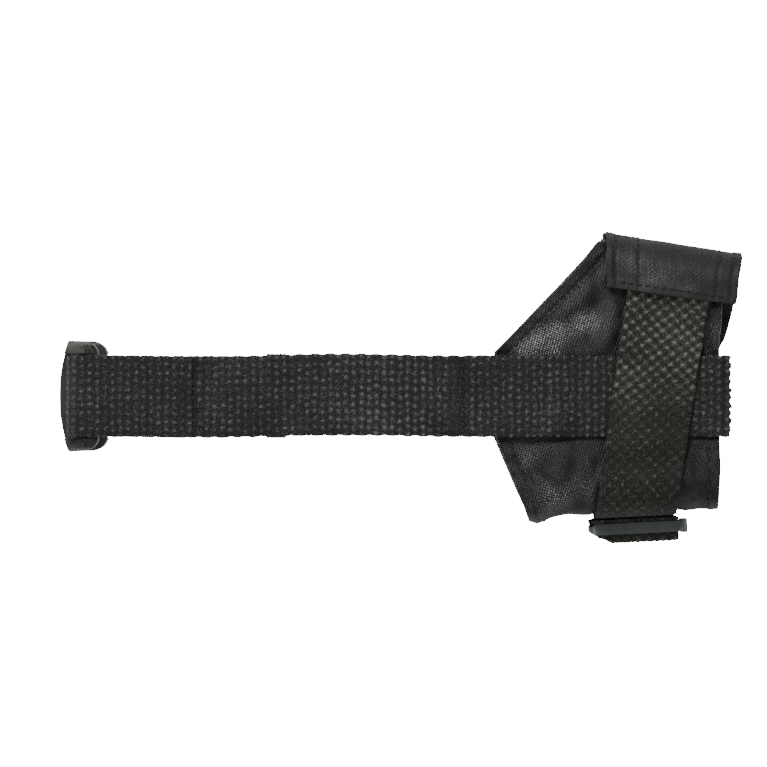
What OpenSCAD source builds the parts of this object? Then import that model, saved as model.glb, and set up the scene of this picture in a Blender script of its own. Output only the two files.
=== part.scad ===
// Nylon dog muzzle with a webbing neck strap, lying on its side.
// +X runs from the neck buckle to the nose, +Y from the chin to the bridge of the nose,
// and +Z from the flank that lies on the table to the flank that faces up.

/* [Cup] */
// Inside-out width of the cup, from one side panel to the other
cup_w = 52; // [44:1:64]
// Height of the cup at its rear apex, from chin to bridge
cup_h = 85.2; // [76:0.2:96]
// Length of the bridge edge, from the rear apex to the nose
bridge_l = 42.4; // [38:0.2:50]
// How far the rear edge runs back from the apex to the neck strap
flank_l = 32.3; // [26:0.1:38]
// Thickness of the outer fabric
fabric_t = 0.9; // [0.6:0.1:1.2]
// Thickness of the lining
lining_t = 0.7; // [0.4:0.1:1]

/* [Webbing] */
// Width of all the webbing
web_w = 25; // [20:0.5:28]
// Thickness of all the webbing
web_t = 1.4; // [1:0.1:1.6]
// Lean of the snout strap from upright, in degrees
snout_lean = 8; // [4:0.1:10]
// Length of the neck strap from the rear edge of the cup to the buckle bar
neck_l = 128; // [100:1:160]
// How far the nose band reaches behind the rear edge of the cup
band_overhang = 9.8; // [6:0.1:14]
// Length of the sewn-back end of the upper neck strap
return_l = 35; // [26:1:50]
// Length of the adjustable tail of the lower neck strap
tail_l = 72; // [50:1:90]

/* [Buckle] */
// Width of the side-release buckle
buckle_w = 34; // [32:0.5:37]
// Greatest thickness of the buckle
buckle_t = 12; // [11:0.1:14]
// Radius of the bars that the webbing goes round
bar_r = 2; // [1.6:0.1:2.2]
// Length of the latch arms inside the socket
latch_l = 15; // [13:0.5:16]
// Angle that a latch arm can be squeezed in
squeeze = 10; // [6:1:10]

/* [Strap slider] */
// Thickness of the slider under the chin
slider_t = 3.4; // [3:0.1:4]
// Depth of the slider along the strap
slider_l = 21; // [19:0.5:24]

/* [Hidden] */

gap = 0.1;                              // clearance between layers of cloth
bend_in = 2.5;                          // inner radius where a strap bends at the buckle
keeper_t = 0.6;                         // thickness of the elastic keeper
keeper_l = 6;                           // width of the keeper along the strap
keeper_rise = 0.2;                      // how far the keeper stays off the table
sleeve_t = 0.8;                         // thickness of the sleeve over the bridge
sleeve_drop = 14.4;                     // how far the sleeve hangs down each flank
corner_bridge = 8;                      // outer corner radius of the cup at the bridge
corner_chin = 11;                       // outer corner radius of the cup at the chin
bridge_slope = -0.158;                  // fall of the bridge edge towards the nose, mm per mm
chin_slope = 0.05;                      // rise of the chin edge towards the nose, mm per mm

// Heights. The nose band and snout strap are the outermost layers, so the lower ones touch z = 0.
layer = gap + web_t;                    // one layer of webbing with its clearance
z_low = 2 * layer;                      // outside of the lower side panel
z_high = z_low + cup_w;                 // outside of the upper side panel
z_upper_strap = z_high + gap + web_t / 2;
z_upper_return = z_upper_strap + layer;
z_tail = keeper_rise + keeper_t + gap + web_t / 2;
z_lower_strap = z_tail + layer;
z_under_band = z_low - gap - web_t / 2;

// Places along the cup, with the rear apex and the buckle as the ends of the whole
apex_x = neck_l - 66.1;
nose_x = apex_x + bridge_l;
tip_x = apex_x - flank_l;               // rear edge where the neck strap leaves
heel_x = tip_x + 10;                    // rear edge at the chin
front_x = nose_x - 6.9;                 // front edge below the bridge sleeve
bar_x = tip_x - neck_l;                 // axis of the buckle's bars
bridge_y = 45.3;                        // outside of the bridge panel at the apex
chin_y = bridge_y - cup_h;              // outside of the chin panel at the heel
strap_y = chin_y + 0.4378 * cup_h;      // middle of the neck strap and nose band
seam_l = 16;                            // neck strap sewn in under the nose band

function bridge_at(x) = bridge_y + bridge_slope * (x - apex_x);
function chin_at(x) = chin_y + chin_slope * (x - heel_x);

// Middle line of the snout strap, seen from the side
strap_mid_x = front_x - 20.1;
function snout_x(y) = strap_mid_x + (y - strap_y) * tan(snout_lean);

// Outline of a side panel: [share of the height, x]
mid_x = (apex_x + tip_x) / 2;
function share(y) = (y - chin_at(mid_x)) / (bridge_at(mid_x) - chin_at(mid_x));
rear_edge = [
    [0, heel_x], [share(strap_y - web_w / 2), tip_x], [share(strap_y + web_w / 2), tip_x],
    [1, apex_x]
];
front_edge = [[0, front_x], [0.62, front_x], [0.82, nose_x - 3.4], [1, nose_x]];

// A point on the cup's cross-section at x. The station u goes round it: 0 to 1 up the upper flank
// from chin to bridge, 2 to 3 down across the bridge, 4 to 5 along the lower flank, 6 to 7 across the chin.
function corner(y, z, r, a) = [y + r * cos(a), z + r * sin(a)];
function section(x, u, off) =
    let (
        top = bridge_at(x), foot = chin_at(x), rb = corner_bridge, rc = corner_chin,
        s = u >= 8 ? u - 8 : u, k = floor(s), f = s - k
    )
    k == 0 ? [foot + rc + f * (top - rb - foot - rc), z_high + off] :
    k == 1 ? corner(top - rb, z_high - rb, rb + off, 90 * (1 - f)) :
    k == 2 ? [top + off, z_high - rb - f * (cup_w - 2 * rb)] :
    k == 3 ? corner(top - rb, z_low + rb, rb + off, -90 * f) :
    k == 4 ? [top - rb - f * (top - rb - foot - rc), z_low - off] :
    k == 5 ? corner(foot + rc, z_low + rc, rc + off, -90 - 90 * f) :
    k == 6 ? [foot - off, z_low + rc + f * (cup_w - 2 * rc)] :
             corner(foot + rc, z_high - rc, rc + off, 180 - 90 * f);

// Stations from u0 to u1, with steps on each flat and round each corner
flat_steps = 14;
corner_steps = 5;
function stations(u0, u1) = [
    for (k = [u0:u1 - 1])
        let (n = k % 2 == 1 ? corner_steps : k % 4 == 0 ? flat_steps : 4)
        for (i = [0:n - 1]) k + i / n,
    u1
];
function flat_share(u) = let (p = section(mid_x, u, 0)) min(1, max(0, share(p[0])));

// Closed sheet of cloth that follows the cup. span(u) gives its [rear x, front x] at a station, and
// off(x, y) the clearance between it and the cup's outer surface.
module cup_sheet(us, span, off, t, steps = 6, closed = false) {
    n = len(us);
    m = steps + 1;
    spans = [for (u = us) span(u)];
    function at(i, j, d) =
        let (x = spans[i][0] + (spans[i][1] - spans[i][0]) * j / steps, y = section(x, us[i], 0)[0])
        let (p = section(x, us[i], off(x, y) + d)) [x, p[0], p[1]];
    points = concat(
        [for (i = [0:n - 1], j = [0:steps]) at(i, j, t)],
        [for (i = [0:n - 1], j = [0:steps]) at(i, j, 0)]
    );
    size = n * m;
    function quad(a, b, c, d) = [[a, b, c], [a, c, d]];
    last = closed ? n - 1 : n - 2;
    function next(i) = (i + 1) % n;
    skin = [
        for (i = [0:last], j = [0:steps - 1])
            each quad(i * m + j, i * m + j + 1, next(i) * m + j + 1, next(i) * m + j)
    ];
    back = [for (f = skin) [f[2] + size, f[1] + size, f[0] + size]];
    sides = [
        for (i = [0:last], j = [0, steps])
            let (a = i * m + j, b = next(i) * m + j)
            each j == 0 ? quad(a, b, b + size, a + size) : quad(b, a, a + size, b + size)
    ];
    ends = closed ? [] : [
        for (i = [0, n - 1], j = [0:steps - 1])
            let (a = i * m + j)
            each i == 0 ? quad(a + 1, a, a + size, a + 1 + size) : quad(a, a + 1, a + 1 + size, a + size)
    ];
    polyhedron(points = points, faces = concat(skin, back, sides, ends));
}

// Spans and clearances of the sheets
function panel_span(u) = let (v = flat_share(u)) [lookup(v, rear_edge), lookup(v, front_edge)];
function lining_span(u) = let (s = panel_span(u)) [s[0] + 1.5, s[1] - 1.5];
function snout_span(u) =
    let (y = section(strap_mid_x, u, 0)[0], half = web_w / 2 / cos(snout_lean))
    [snout_x(y) - half, snout_x(y) + half];
function sleeve_span(u) = let (v = flat_share(u)) [apex_x - (1 - v) * 8, lookup(v, front_edge)];
ramp_l = 7;                             // length over which the snout strap climbs onto the band
function over_band(y) =
    let (d = abs(y - strap_y) - web_w / 2 - 1.5)
    gap + layer * (d < 0 ? 1 : d > ramp_l ? 0 : 1 - d / ramp_l);
function flush(x, y) = 0;

// Strip of webbing: a path in the XZ plane, given the webbing's thickness, and its width along Y
function unit(v) = v / norm(v);
function side_step(path, i, d) =
    let (
        a = unit(path[max(i, 1)] - path[max(i, 1) - 1]),
        j = min(i, len(path) - 2), b = unit(path[j + 1] - path[j]),
        mid = unit(a + b)
    )
    path[i] + [-mid[1], mid[0]] * d / (mid * a);
function outline(path) = concat(
    [for (i = [0:len(path) - 1]) side_step(path, i, web_t / 2)],
    [for (i = [len(path) - 1:-1:0]) side_step(path, i, -web_t / 2)]
);
module ribbon(path)
    translate([0, strap_y + web_w / 2, 0]) rotate([90, 0, 0]) linear_extrude(web_w) polygon(outline(path));
function bend(x, z, r, a0, a1, n = 9) = [for (i = [0:n]) corner(x, z, r, a0 + (a1 - a0) * i / n)];

// ---- Cup ----
module side_panel_upper() color([0.05, 0.05, 0.06])
    cup_sheet(stations(7, 10), function (u) panel_span(u), function (x, y) -fabric_t, fabric_t);
module side_panel_lower() color([0.05, 0.05, 0.06])
    cup_sheet(stations(3, 6), function (u) panel_span(u), function (x, y) -fabric_t, fabric_t);
module bridge_panel() color([0.06, 0.06, 0.07])
    cup_sheet(stations(2, 3), function (u) panel_span(u), function (x, y) -fabric_t, fabric_t);
module chin_panel() color([0.06, 0.06, 0.07])
    cup_sheet(stations(6, 7), function (u) panel_span(u), function (x, y) -fabric_t, fabric_t);
module cup_lining() color([0.09, 0.09, 0.1])
    cup_sheet(
        [for (u = stations(0, 8)) if (u < 8) u], function (u) lining_span(u),
        function (x, y) -fabric_t - gap - lining_t, lining_t, 4, true
    );
// Sleeve over the bridge that the snout strap runs through
sleeve_f = (sleeve_drop - corner_bridge) / (cup_h - corner_bridge - corner_chin);
module bridge_sleeve() color([0.08, 0.08, 0.09])
    cup_sheet(
        [1 - sleeve_f, each stations(1, 4), 4 + sleeve_f], function (u) sleeve_span(u),
        function (x, y) gap + layer, sleeve_t
    );

// ---- Snout strap and its slider ----
module snout_strap() color([0.1, 0.1, 0.09])
    cup_sheet(
        [for (u = stations(0, 8)) if (u < 8) u], function (u) snout_span(u),
        function (x, y) over_band(y), web_t, 2, true
    );
module snout_strap_tail() color([0.1, 0.1, 0.09])
    cup_sheet(
        stations(5, 6), function (u) snout_span(u), function (x, y) over_band(y) + layer, web_t, 2
    );

// The slider's own frame: origin on its middle bar, -Y away from the chin, Z along the strap
slider_w = web_w + 5.2;
bar_half = 1.6;                         // half the width of the slider's middle bar
slot_end = slider_l / 2 - 4;            // far side of each slot
slider_z = z_low + cup_w / 2 + 2;
slider_x = snout_x(chin_y) + 1.2;
slider_y = chin_at(slider_x) - 3 * gap - 2 * web_t - slider_t / 2;
module at_slider() translate([slider_x, slider_y, slider_z]) rotate([0, 0, atan(chin_slope)]) children();

// Plate with round corners in the XZ plane, t thick along Y
module rounded_plate(w, l, r, t)
    translate([0, t / 2, 0]) rotate([90, 0, 0]) linear_extrude(t) {
        square([w - 2 * r, l], center = true);
        square([w, l - 2 * r], center = true);
        for (x = [-1, 1], z = [-1, 1])
            translate([x * (w / 2 - r), z * (l / 2 - r)]) circle(r, $fn = 32);
    }
module snout_slider() color([0.16, 0.17, 0.16]) at_slider()
    difference() {
        rounded_plate(slider_w, slider_l, 3, slider_t);
        for (z = [-1, 1])
            translate([0, 0, z * (bar_half + slot_end) / 2])
                cube([web_w + 0.6, slider_t + 2, slot_end - bar_half], center = true);
    }
// Rounded box section along X: half sizes hy and hz, corner radius r
module rounded_bar(hy, hz, r, w)
    rotate([90, 0, 90]) linear_extrude(w, center = true) {
        square([2 * hy - 2 * r, 2 * hz], center = true);
        square([2 * hy, 2 * hz - 2 * r], center = true);
        for (y = [-1, 1], z = [-1, 1]) translate([y * (hy - r), z * (hz - r)]) circle(r, $fn = 32);
    }
loop_y = slider_t / 2 + gap;            // inside of the sewn loop round the middle bar
loop_z = bar_half + gap;
module slider_bar_loop() color([0.09, 0.09, 0.08]) at_slider()
    difference() {
        rounded_bar(loop_y + web_t, loop_z + web_t, web_t, web_w);
        cube([web_w + 1, 2 * loop_y, 2 * loop_z], center = true);
    }
// Running end of the strap: over the sewn loop, through both slots and out under the outer bars
rider_y = loop_y + web_t + gap + web_t / 2;
rider_z = loop_z + web_t + gap + web_t / 2;
leg_y = slider_t / 2 + gap + web_t / 2;
rider_r = 1;                            // middle radius where the strap turns
rider_reach = slider_l / 2 + 2.5;
half_rider = concat(
    bend(-rider_y + rider_r, rider_z - rider_r, rider_r, 180, 90, 5),
    bend(leg_y - rider_r, rider_z + rider_r, rider_r, -90, 0, 5),
    [[leg_y, rider_reach]]
);
module snout_strap_rider() color([0.1, 0.1, 0.09]) at_slider()
    rotate([90, 0, 90]) linear_extrude(web_w, center = true)
        polygon(outline(concat(
            [for (i = [len(half_rider) - 1:-1:0]) [half_rider[i][0], -half_rider[i][1]]], half_rider
        )));

// ---- Nose band ----
band_start = tip_x - band_overhang;
seam_end = tip_x + seam_l;
wrap_r = 3.2;                           // middle radius where the band turns round the nose
wrap_x = front_x + 2.8;                 // middle of the band where it crosses the nose
module nose_band() color([0.09, 0.09, 0.08])
    ribbon(concat(
        [
            [band_start, z_upper_return], [seam_end + 1, z_upper_return],
            [seam_end + 9, z_upper_strap]
        ],
        bend(wrap_x - wrap_r, z_upper_strap - wrap_r, wrap_r, 90, 0),
        bend(wrap_x - wrap_r, z_under_band + wrap_r, wrap_r, 0, -90),
        [
            [seam_end + 9, z_under_band], [seam_end + 1, z_under_band - layer],
            [band_start, z_under_band - layer]
        ]
    ));

// ---- Neck straps and keeper ----
wrap = bar_r + gap + web_t / 2;         // middle radius of webbing round a buckle bar
turn = bend_in + web_t / 2;             // middle radius where a strap turns to the buckle
turn_out = turn + 1;                    // the same for the outer layer
turn_x = bar_x + wrap + turn;
loop_end = turn_x + 1.2;                // where the upper strap's loop meets the strap itself
part_gap = 0.4;                         // clearance there, so that the strap can swing
z_bar_upper = z_upper_strap - turn - 2.2;
z_bar_lower = z_lower_strap + turn + 3.9;
strap_end = seam_end - 1;
hinge_x = band_start - 1;               // where the upper strap flexes as it is lifted
module neck_strap_upper() color([0.09, 0.09, 0.08])
    ribbon([[hinge_x, z_upper_strap], [loop_end + part_gap, z_upper_strap]]);
module neck_strap_upper_seam() color([0.09, 0.09, 0.08])
    ribbon([[strap_end, z_upper_strap], [hinge_x + part_gap, z_upper_strap]]);
module neck_strap_upper_end() color([0.09, 0.09, 0.08])
    ribbon([[loop_end + part_gap, z_upper_return], [bar_x + return_l, z_upper_return]]);
module buckle_strap_loop() color([0.09, 0.09, 0.08])
    ribbon(concat(
        [[loop_end, z_upper_strap]],
        bend(turn_x, z_upper_strap - turn, turn, 90, 180),
        bend(bar_x, z_bar_upper, wrap, 0, -180, 14),
        bend(bar_x - wrap + turn_out, z_upper_return - turn_out, turn_out, 180, 90),
        [[loop_end, z_upper_return]]
    ));
module neck_strap_lower() color([0.09, 0.09, 0.08])
    ribbon(concat(
        [
            [strap_end, z_under_band], [band_start + 3, z_under_band],
            [band_start - 12, z_lower_strap]
        ],
        bend(turn_x, z_lower_strap + turn, turn, 270, 180),
        bend(bar_x, z_bar_lower, wrap, 0, 180, 14),
        bend(bar_x - wrap + turn_out, z_tail + turn_out, turn_out, 180, 270),
        [[bar_x + tail_l, z_tail]]
    ));
keeper_x = bar_x + tail_l - 12;
module strap_keeper() color([0.07, 0.07, 0.07])
    translate([keeper_x, strap_y, (z_tail + z_lower_strap) / 2])
        difference() {
            cube([keeper_l, web_w + 2 * (gap + keeper_t), 2 * layer - gap + 2 * (gap + keeper_t)], center = true);
            cube([keeper_l + 1, web_w + 2 * gap, 2 * layer + gap], center = true);
        }

// ---- Side-release buckle: width along Y, thickness along X, length along Z ----
outer_x = bar_x - 5.9;                  // crowned face, away from the neck
inner_x = outer_x + buckle_t;
crown = 3;                              // how far the outer face bulges
mouth_z = z_bar_lower + 13.8;           // joint between the two halves
female_top = z_bar_upper + bar_r;
male_foot = z_bar_lower - bar_r - 4.2;
wall = 2.2;                             // wall between the socket and the inner face
wall_out = 3;                           // wall between the socket and the crowned face
male_t = buckle_t + 2;                  // thickness of the prong half
socket_half = buckle_w / 2 - 3.8;       // half the inside width of the socket
cavity_t = buckle_t - wall_out - wall;  // inside thickness of the socket
arm_t = cavity_t - 1.2;                 // thickness of a latch arm
arm_y = 9.5;                            // middle of an arm from the buckle's middle
arm_foot_z = mouth_z - 7.5;             // where an arm flexes
arm_r = 2;
module at_buckle() translate([0, strap_y, 0]) children();

// Rectangle from 0 to w in X, centred in Y, with corners of radius r
module rounded_rect(w, l, r) {
    translate([r, -l / 2]) square([w - 2 * r, l]);
    translate([0, r - l / 2]) square([w, l - 2 * r]);
    for (x = [r, w - r], y = [r - l / 2, l / 2 - r]) translate([x, y]) circle(r, $fn = 32);
}
// Crowned body from z0 to z1 and t thick, with round corners of radius r0 below and r1 above
module buckle_body(z0, z1, r0, r1, t) {
    crown_r = (pow(buckle_w / 2, 2) + crown * crown) / 2 / crown;
    intersection() {
        translate([outer_x + crown_r, 0, z0]) cylinder(r = crown_r, h = z1 - z0, $fn = 128);
        translate([outer_x - 0.5, 0, z0]) linear_extrude(z1 - z0)
            rounded_rect(t + 0.5, buckle_w, min(5, t / 2));
        translate([outer_x - 1, 0, 0]) rotate([90, 0, 90]) linear_extrude(t + 1) {
            translate([-buckle_w / 2 + r0, z0]) square([buckle_w - 2 * r0, z1 - z0]);
            translate([-buckle_w / 2 + r1, z0]) square([buckle_w - 2 * r1, z1 - z0]);
            translate([-buckle_w / 2, z0 + r0]) square([buckle_w, z1 - z0 - r0 - r1]);
            for (y = [-1, 1]) {
                translate([y * (buckle_w / 2 - r0), z0 + r0]) circle(r0, $fn = 32);
                translate([y * (buckle_w / 2 - r1), z1 - r1]) circle(r1, $fn = 32);
            }
        }
    }
}
// Slot for the webbing, and the cut that thins the frame beside it
module web_slot(z0, z1) translate([outer_x - 2, -web_w / 2 - 0.5, z0]) cube([buckle_t + 6, web_w + 1, z1 - z0]);
module bar(z, r) translate([bar_x, 0, z]) rotate([90, 0, 0])
    cylinder(r = r, h = web_w + 3, center = true, $fn = 48);

socket_z = mouth_z + latch_l + 2.6;
strap_end_t = bar_x + bar_r + 0.2 - outer_x;   // thickness of the socket's strap end
grip_rise = 1.6;                        // height of a step of the finger grip
shoulder_z = socket_z + 2.2 + 3 * grip_rise;
window_low = mouth_z + 3.4;
window_high = mouth_z + latch_l + 1;
module buckle_female() color([0.13, 0.13, 0.13]) at_buckle() {
    difference() {
        // thin at the strap end, with steps to the full thickness as a finger grip
        for (k = [0:3])
            buckle_body(mouth_z, k == 0 ? female_top : shoulder_z - k * grip_rise, 1.2, 5,
                strap_end_t + (buckle_t - strap_end_t) * k / 3);
        web_slot(z_bar_upper - bar_r - 3.4, female_top + 1);
        translate([outer_x + wall_out, -socket_half, mouth_z - 1])
            cube([cavity_t, 2 * socket_half, socket_z - mouth_z + 1]);
        for (y = [-1, 1])
            translate([outer_x + wall_out, y > 0 ? socket_half - 1 : -buckle_w / 2 - 1, window_low])
                cube([cavity_t, buckle_w / 2 - socket_half + 2, window_high - window_low]);
        // thumb grooves across the outer face
        for (z = [0:2])
            translate([outer_x - 1.1, 0, socket_z + 1.6 + 1.9 * z]) rotate([90, 0, 0])
                cylinder(r = 1.6, h = 16, center = true, $fn = 32);
    }
    bar(z_bar_upper, bar_r);
}
pocket_in = 3.4;                        // clearance inside an arm for the squeeze
module buckle_male() color([0.13, 0.13, 0.13]) at_buckle() {
    difference() {
        buckle_body(male_foot, mouth_z - 0.2, 5, 1.2, male_t);
        web_slot(male_foot - 1, z_bar_lower + bar_r + 3.4);
        for (y = [-1, 1])
            translate([
                outer_x + wall_out, y * (arm_y + (arm_r - pocket_in) / 2) - (2 * arm_r + pocket_in) / 2 + 0.5,
                arm_foot_z - arm_r - 0.3
            ])
                cube([cavity_t, 2 * arm_r + pocket_in - 0.4, 20]);
    }
    bar(z_bar_lower, bar_r);
    bar(male_foot + 1.7, 1.4);
    // guide tongue between the arms
    translate([outer_x + wall_out + 0.6, -2.2, mouth_z - 1]) cube([arm_t, 4.4, latch_l + 1]);
}
// One latch arm, for the +Y side: a stem that flexes at its foot, a catch and a finger pad
catch_y = socket_half - arm_y + 2.2;    // how far the pad stands out from the arm's middle
module latch_arm() {
    translate([outer_x + wall_out + 0.6, arm_y, 0]) rotate([90, 0, 90]) linear_extrude(arm_t) {
        translate([0, arm_foot_z]) circle(arm_r, $fn = 32);
        polygon([
            [-arm_r, arm_foot_z], [arm_r, arm_foot_z], [arm_r, window_low + 0.3],
            [catch_y, window_low + 0.3], [catch_y + 0.3, window_low + 3],
            [catch_y, window_low + 6], [catch_y - 1.2, window_low + 9], [arm_r, mouth_z + latch_l],
            [-0.5, mouth_z + latch_l], [-arm_r, mouth_z + latch_l - 3]
        ]);
    }
}
module latch_arm_bridge_side() color([0.13, 0.13, 0.13]) at_buckle() latch_arm();
module latch_arm_chin_side() color([0.13, 0.13, 0.13]) at_buckle() mirror([0, 1, 0]) latch_arm();

// ---- Stitching: rows of short threads that lie on the cloth ----
stitch_l = 1.9;
stitch_w = 0.5;
stitch_t = 0.25;
stitch_pitch = 2.6;
// Row from a to b in the XY plane, at height z
module stitch_row(a, b, z) {
    n = floor(norm(b - a) / stitch_pitch);
    dir = unit(b - a);
    for (i = [0:n - 1])
        translate([each (a + dir * (i + 0.5) * norm(b - a) / n), z + stitch_t / 2])
            rotate([0, 0, atan2(dir[1], dir[0])])
                cube([stitch_l, stitch_w, stitch_t], center = true);
}
// Sewn box
module stitch_box(x0, x1, half, z) {
    for (y = [-1, 1]) stitch_row([x0 + 1.4, strap_y + y * half], [x1 - 1.4, strap_y + y * half], z);
    for (x = [x0, x1]) stitch_row([x, strap_y - half + 1.4], [x, strap_y + half - 1.4], z);
}
module sleeve_stitches() color([0.03, 0.03, 0.03])
    for (x = [apex_x + 2.5, apex_x + 7.5, nose_x - 9.5, nose_x - 5])
        stitch_row(
            [x - 0.6, section(x, 1 - sleeve_f, 0)[0] + 1], [x, bridge_at(x) - corner_bridge],
            z_high + gap + layer + sleeve_t
        );
module band_stitches() color([0.03, 0.03, 0.03]) {
    stitch_box(band_start + 3, seam_end - 2, web_w / 2 - 3, z_upper_return + web_t / 2);
    stitch_row(
        [band_start + 5, strap_y - web_w / 2 + 5], [seam_end - 4, strap_y - 1],
        z_upper_return + web_t / 2
    );
}
module strap_end_stitches() color([0.03, 0.03, 0.03])
    stitch_box(bar_x + return_l - 14, bar_x + return_l - 3, web_w / 2 - 3, z_upper_return + web_t / 2);

// ---- Frame: middle of the whole in X and Y, underside at z = 0 ----
hump_y = slider_y - rider_y - web_t / 2 - web_w / 2 * chin_slope;
frame_x = -(outer_x + nose_x) / 2;
frame_y = -(bridge_y + gap + layer + sleeve_t + hump_y) / 2;
module place() translate([frame_x, frame_y, 0]) children();

place() side_panel_upper();
place() side_panel_lower();
place() bridge_panel();
place() chin_panel();
place() cup_lining();
place() bridge_sleeve();
place() nose_band();
place() snout_strap();
place() snout_strap_tail();
place() snout_slider();
place() slider_bar_loop();
place() snout_strap_rider();
place() neck_strap_upper();
place() neck_strap_upper_end();
place() neck_strap_upper_seam();
place() buckle_strap_loop();
place() neck_strap_lower();
place() strap_keeper();
place() buckle_female();
place() buckle_male();
place() latch_arm_bridge_side();
place() latch_arm_chin_side();
place() sleeve_stitches();
place() band_stitches();
place() strap_end_stitches();
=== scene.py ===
"""Looks of the fabric dog muzzle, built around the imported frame. Lengths are in mm until a mesh is made."""
import math

import bmesh
import bpy
import numpy as np
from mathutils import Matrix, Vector


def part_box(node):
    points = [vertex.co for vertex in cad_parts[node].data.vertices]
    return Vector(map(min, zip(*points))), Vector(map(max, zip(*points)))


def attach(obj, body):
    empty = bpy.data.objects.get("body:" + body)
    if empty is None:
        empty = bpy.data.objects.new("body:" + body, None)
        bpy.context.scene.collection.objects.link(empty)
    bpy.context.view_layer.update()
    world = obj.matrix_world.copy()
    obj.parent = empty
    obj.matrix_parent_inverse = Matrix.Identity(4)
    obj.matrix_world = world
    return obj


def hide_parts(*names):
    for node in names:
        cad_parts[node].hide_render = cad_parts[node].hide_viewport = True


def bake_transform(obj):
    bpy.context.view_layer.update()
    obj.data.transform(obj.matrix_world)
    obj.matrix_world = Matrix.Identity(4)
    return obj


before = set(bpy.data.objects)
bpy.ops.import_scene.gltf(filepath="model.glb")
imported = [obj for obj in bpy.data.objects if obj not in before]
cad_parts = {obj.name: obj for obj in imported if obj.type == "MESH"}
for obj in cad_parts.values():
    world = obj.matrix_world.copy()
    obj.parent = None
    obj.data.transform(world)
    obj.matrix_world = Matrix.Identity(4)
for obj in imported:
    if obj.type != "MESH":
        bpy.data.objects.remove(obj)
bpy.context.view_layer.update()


def box(node):
    """Lowest and highest corner of a CAD node, in mm."""
    lo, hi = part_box(node)
    return np.array(lo) * 1000, np.array(hi) * 1000


# ---- sizes that the frame doesn't give
GAP = 0.1  # clearance between layers
WEB_T = 1.4  # thickness of the webbing
LAYER = GAP + WEB_T
FABRIC_T = 0.9  # thickness of the cup's cloth
SLIDER_T = 3.4  # thickness of the slider
BAR_HALF = 1.6  # half the width of the slider's middle bar
SLEEVE_DROP = 14.4  # how far the sleeve hangs down each flank
BAND_R = 3.2  # middle radius where the band turns round the nose
WRAP_R = 2.8  # the same where webbing goes round a buckle bar
TURN_R, TURN_OUT_R = 3.2, 4.2  # where the neck straps turn to the buckle: first layer, second layer
LEAN = math.tan(math.radians(8.0))  # of the snout strap from upright
YARN_S, YARN_A = 2.35, 2.42  # pitch of the neck webbing's yarns along and across it
SNOUT_YARN = 1.9  # pitch of the snout webbing's yarns
EDGE_IN = 0.25  # how far the modelled faces of webbing stop short of its edges
SEAM_IN = 3.2  # distance of the hem's stitching from the cup's edges

# ---- sizes read from the frame
seam_lo, seam_hi = box("neck_strap_upper_seam")
_, strap_hi = box("neck_strap_upper")
_, return_hi = box("neck_strap_upper_end")
loop_lo, loop_hi = box("buckle_strap_loop")
lower_lo, lower_hi = box("neck_strap_lower")
band_lo, band_hi = box("nose_band")
side_lo, side_hi = box("side_panel_upper")
bridge_lo, bridge_hi = box("bridge_panel")
chin_lo, chin_hi = box("chin_panel")
low_side_lo, _ = box("side_panel_lower")
slider_lo, slider_hi = box("snout_slider")
keeper_lo, keeper_hi = box("strap_keeper")
sleeve_lo, _ = box("bridge_sleeve")

WEB_W = seam_hi[1] - seam_lo[1]
HALF = WEB_W / 2
STRAP_Y = (seam_hi[1] + seam_lo[1]) / 2
Z_HIGH = side_hi[2]
Z_LOW = low_side_lo[2]
CUP_W = Z_HIGH - Z_LOW
APEX_X, NOSE_X = bridge_lo[0], bridge_hi[0]
TIP_X, HEEL_X, FRONT_X = side_lo[0], chin_lo[0], chin_hi[0]
BRIDGE_Y, CHIN_Y = bridge_hi[1], chin_lo[1]
R_BRIDGE, R_CHIN = bridge_lo[2] - Z_LOW, chin_lo[2] - Z_LOW
BRIDGE_SLOPE = (bridge_lo[1] + FABRIC_T - BRIDGE_Y) / (NOSE_X - APEX_X)
CHIN_SLOPE = (chin_hi[1] - FABRIC_T - CHIN_Y) / (FRONT_X - HEEL_X)
STRAP_MID_X = FRONT_X - 20.1  # middle of the snout strap at the nose band
BAND_START = band_lo[0]
SEAM_END = seam_hi[0] + 1
HINGE_X = strap_hi[0]
LOOP_END = loop_hi[0]
BAR_X = loop_lo[0] + WEB_T / 2 + WRAP_R
Z_STRAP = seam_lo[2] + WEB_T / 2
Z_RETURN = Z_STRAP + LAYER
Z_TAIL = lower_lo[2] + WEB_T / 2
Z_LOWER = Z_TAIL + LAYER
Z_UNDER_BAND = Z_LOW - GAP - WEB_T / 2
Z_BAR_UPPER = loop_lo[2] + WEB_T / 2 + WRAP_R
Z_BAR_LOWER = lower_hi[2] - WEB_T / 2 - WRAP_R


# ---- small helpers
def smooth(e0, e1, v):
    """0 where v is at e0 or before it, 1 from e1 on, and an S-curve between."""
    t = np.clip((v - e0) / (e1 - e0), 0, 1)
    return t * t * (3 - 2 * t)


def ripple(x, y, seed, wave, count=7):
    """Soft noise from -1 to 1 with features about wave mm long."""
    rng = np.random.default_rng(seed)
    total = 0
    for _ in range(count):
        a, k = rng.uniform(0, math.pi), 2 * math.pi / (wave * rng.uniform(0.7, 1.6))
        total = total + np.sin(k * (np.cos(a) * x + np.sin(a) * y) + rng.uniform(0, 2 * math.pi))
    return total / count * 1.6


def ripple3(x, y, z, seed, wave, count=9):
    """The same over three directions, so that it has no seam round the cup."""
    rng = np.random.default_rng(seed)
    total = 0
    for _ in range(count):
        d = rng.normal(size=3)
        d *= 2 * math.pi / (wave * rng.uniform(0.7, 1.6)) / np.linalg.norm(d)
        total = total + np.sin(d[0] * x + d[1] * y + d[2] * z + rng.uniform(0, 2 * math.pi))
    return total / count * 1.7


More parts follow.
